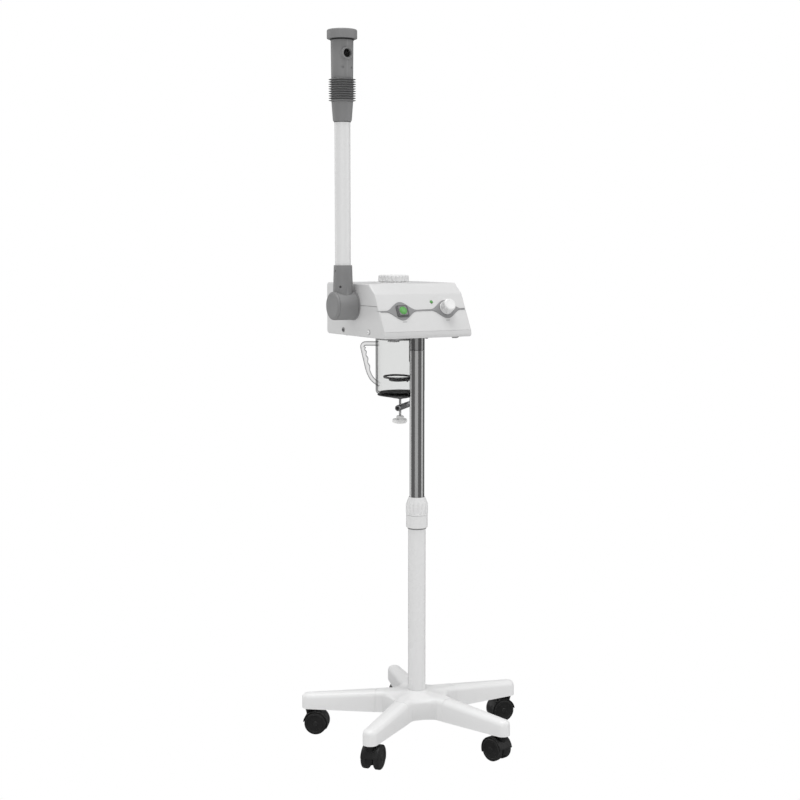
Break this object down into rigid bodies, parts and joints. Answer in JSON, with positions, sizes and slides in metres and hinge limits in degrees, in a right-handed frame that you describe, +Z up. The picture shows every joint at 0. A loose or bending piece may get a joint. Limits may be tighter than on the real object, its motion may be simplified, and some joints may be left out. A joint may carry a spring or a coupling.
{
  "type": "facial steamer",
  "caption": "Free-standing facial steamer: castor stand, telescopic column, control housing, clamped glass water jar and tilting steam arm with nozzle.",
  "frame": {"origin": "middle of the footprint on the floor", "axes": "+Z up the column, -Y the front with the controls, the steam arm on the -X side"},
  "size_m": [0.4691, 0.4921, 1.527],
  "materials": {
    "white_plastic": "satin moulded ABS",
    "white_paint": "white powder coat",
    "white_tube": "satin white tube",
    "grey_plastic": "fine-textured grey ABS",
    "grey_rubber": "soft matt rubber",
    "black_plastic": "black nylon",
    "castor_tread": "black nylon wheel",
    "chrome": "polished",
    "steel": "zinc-plated",
    "heater_metal": "dark oxidised sheath",
    "clear_glass": "clear",
    "green_lens": "translucent green",
    "frosted_plastic": "translucent white",
    "circuit_board": "green board"
  },
  "bodies": {
    "stand": {"base_hub": "white_plastic", "base_leg_1": "white_plastic", "base_leg_2": "white_plastic", "base_leg_3": "white_plastic", "base_leg_4": "white_plastic", "base_leg_5": "white_plastic", "column_bolt": "steel", "lower_column": "white_paint", "column_bush": "black_plastic", "collar_base": "white_plastic"},
    "collar": {"collar_nut": "white_plastic"},
    "mast": {"mast_tube": "chrome"},
    "head": {"mast_socket": "chrome", "housing_lower": "white_plastic", "housing_upper": "white_plastic", "wave_band": "grey_plastic", "button_bezel": "grey_plastic", "indicator_lens": "green_lens", "timer_unit": "steel", "control_board": "circuit_board", "power_inlet": "black_plastic", "side_screw_front": "steel", "side_screw_rear": "steel", "jar_neck": "grey_rubber", "fill_neck": "white_plastic", "steam_duct": "grey_rubber", "heater_coil": "heater_metal", "clamp_post": "steel", "pivot_boss": "grey_plastic"},
    "button": {"power_button": "grey_plastic", "button_lens": "green_lens"},
    "knob": {"timer_knob": "white_plastic"},
    "fill_lid": {"fill_cap": "white_plastic"},
    "jar": {"jar": "clear_glass", "jar_plate": "black_plastic"},
    "clamp": {"clamp_arm": "steel"},
    "screw": {"clamp_screw": "steel"},
    "screw_knob": {"clamp_knob": "frosted_plastic"},
    "arm": {"elbow": "grey_plastic", "elbow_cap": "grey_plastic", "arm_tube": "white_tube"},
    "nozzle": {"nozzle_cone": "grey_plastic", "bellows": "grey_rubber"},
    "nozzle_head": {"nozzle_body": "grey_plastic"},
    "nozzle_lid": {"nozzle_cap": "grey_plastic"},
    "castor_1": {"castor_1_body": "black_plastic"},
    "castor_1_left": {"castor_1_wheel_left": "castor_tread"},
    "castor_1_right": {"castor_1_wheel_right": "castor_tread"},
    "castor_2": {"castor_2_body": "black_plastic"},
    "castor_2_left": {"castor_2_wheel_left": "castor_tread"},
    "castor_2_right": {"castor_2_wheel_right": "castor_tread"},
    "castor_3": {"castor_3_body": "black_plastic"},
    "castor_3_left": {"castor_3_wheel_left": "castor_tread"},
    "castor_3_right": {"castor_3_wheel_right": "castor_tread"},
    "castor_4": {"castor_4_body": "black_plastic"},
    "castor_4_left": {"castor_4_wheel_left": "castor_tread"},
    "castor_4_right": {"castor_4_wheel_right": "castor_tread"},
    "castor_5": {"castor_5_body": "black_plastic"},
    "castor_5_left": {"castor_5_wheel_left": "castor_tread"},
    "castor_5_right": {"castor_5_wheel_right": "castor_tread"}
  },
  "joints": [
    {"name": "mast_height", "type": "slide", "parent": "stand", "child": "mast", "axis": [0, 0, 1], "range_m": [-0.1, 0.2]},
    {"name": "head_turn", "type": "hinge", "parent": "mast", "child": "head", "pos_m": [-0.0203, -0.0027, 0.8527], "axis": [0, 0, 1], "continuous": true},
    {"name": "collar_turn", "type": "hinge", "parent": "stand", "child": "collar", "pos_m": [-0.0203, -0.0027, 0.51], "axis": [0, 0, 1], "range_deg": [0, 120]},
    {"name": "arm_tilt", "type": "hinge", "parent": "head", "child": "arm", "pos_m": [-0.1533, 0.0843, 0.947], "axis": [1, 0, 0], "range_deg": [0, 100]},
    {"name": "nozzle_turn", "type": "hinge", "parent": "arm", "child": "nozzle", "pos_m": [-0.1533, 0.0843, 1.336], "axis": [0, 0, 1], "continuous": true},
    {"name": "nozzle_tilt", "type": "hinge", "parent": "nozzle", "child": "nozzle_head", "pos_m": [-0.1533, 0.0843, 1.4015], "axis": [1, 0, 0], "range_deg": [-20, 20], "deforming": ["bellows"]},
    {"name": "nozzle_cap_lift", "type": "slide", "parent": "nozzle_head", "child": "nozzle_lid", "axis": [0, 0, 1], "range_m": [0, 0.04]},
    {"name": "fill_cap_lift", "type": "slide", "parent": "head", "child": "fill_lid", "axis": [0, 0, 1], "range_m": [0, 0.04]},
    {"name": "power_press", "type": "slide", "parent": "head", "child": "button", "axis": [0, 0.8882, -0.4595], "range_m": [0, 0.002], "stiffness_N_per_m": 400},
    {"name": "timer_turn", "type": "hinge", "parent": "head", "child": "knob", "pos_m": [0.0367, -0.02627, 0.94143], "axis": [0, 0.8882, -0.4595], "range_deg": [0, 270]},
    {"name": "jar_drop", "type": "slide", "parent": "head", "child": "jar", "axis": [0, 0, -1], "range_m": [0, 0.012]},
    {"name": "clamp_swing", "type": "hinge", "parent": "head", "child": "clamp", "pos_m": [0.0502, 0.1368, 0.7216], "axis": [0, 0, -1], "range_deg": [0, 100]},
    {"name": "clamp_screw_lower", "type": "slide", "parent": "clamp", "child": "screw", "axis": [0, 0, -1], "range_m": [0, 0.0121]},
    {"name": "clamp_knob_turn", "type": "hinge", "parent": "screw", "child": "screw_knob", "pos_m": [-0.0203, 0.0703, 0.69], "axis": [0, 0, 1], "range_deg": [0, 1081]},
    {"name": "castor_1_swivel", "type": "hinge", "parent": "stand", "child": "castor_1", "pos_m": [0.2182, -0.0027, 0.05], "axis": [0, 0, 1], "continuous": true},
    {"name": "castor_1_roll_left", "type": "hinge", "parent": "castor_1", "child": "castor_1_left", "pos_m": [0.2012, -0.01418, 0.0245], "axis": [-0.1564, -0.9877, 0], "continuous": true},
    {"name": "castor_1_roll_right", "type": "hinge", "parent": "castor_1", "child": "castor_1_right", "pos_m": [0.20558, 0.01347, 0.0245], "axis": [-0.1564, -0.9877, 0], "continuous": true},
    {"name": "castor_2_swivel", "type": "hinge", "parent": "stand", "child": "castor_2", "pos_m": [0.0534, 0.22413, 0.05], "axis": [0, 0, 1], "continuous": true},
    {"name": "castor_2_roll_left", "type": "hinge", "parent": "castor_2", "child": "castor_2_left", "pos_m": [0.07291, 0.23048, 0.0245], "axis": [0.4226, 0.9063, 0], "continuous": true},
    {"name": "castor_2_roll_right", "type": "hinge", "parent": "castor_2", "child": "castor_2_right", "pos_m": [0.06108, 0.2051, 0.0245], "axis": [0.4226, 0.9063, 0], "continuous": true},
    {"name": "castor_3_swivel", "type": "hinge", "parent": "stand", "child": "castor_3", "pos_m": [-0.21325, 0.13749, 0.05], "axis": [0, 0, 1], "continuous": true},
    {"name": "castor_3_roll_left", "type": "hinge", "parent": "castor_3", "child": "castor_3_left", "pos_m": [-0.19289, 0.14, 0.0245], "axis": [0.5878, 0.809, 0], "continuous": true},
    {"name": "castor_3_roll_right", "type": "hinge", "parent": "castor_3", "child": "castor_3_right", "pos_m": [-0.20934, 0.11734, 0.0245], "axis": [0.5878, 0.809, 0], "continuous": true},
    {"name": "castor_4_swivel", "type": "hinge", "parent": "stand", "child": "castor_4", "pos_m": [-0.21325, -0.14289, 0.05], "axis": [0, 0, 1], "continuous": true},
    {"name": "castor_4_roll_left", "type": "hinge", "parent": "castor_4", "child": "castor_4_left", "pos_m": [-0.21076, -0.12252, 0.0245], "axis": [-0.6428, 0.766, 0], "continuous": true},
    {"name": "castor_4_roll_right", "type": "hinge", "parent": "castor_4", "child": "castor_4_right", "pos_m": [-0.19276, -0.14397, 0.0245], "axis": [-0.6428, 0.766, 0], "continuous": true},
    {"name": "castor_5_swivel", "type": "hinge", "parent": "stand", "child": "castor_5", "pos_m": [0.0534, -0.22953, 0.05], "axis": [0, 0, 1], "continuous": true},
    {"name": "castor_5_roll_left", "type": "hinge", "parent": "castor_5", "child": "castor_5_left", "pos_m": [0.03619, -0.21836, 0.0245], "axis": [-0.9703, -0.2419, 0], "continuous": true},
    {"name": "castor_5_roll_right", "type": "hinge", "parent": "castor_5", "child": "castor_5_right", "pos_m": [0.06336, -0.21159, 0.0245], "axis": [-0.9703, -0.2419, 0], "continuous": true}
  ],
  "couplings": [
    {"joint": "clamp_screw_lower", "follows": "jar_drop", "ratio": 1},
    {"joint": "clamp_knob_turn", "follows": "jar_drop", "rad_per_m": 1570.8}
  ]
}
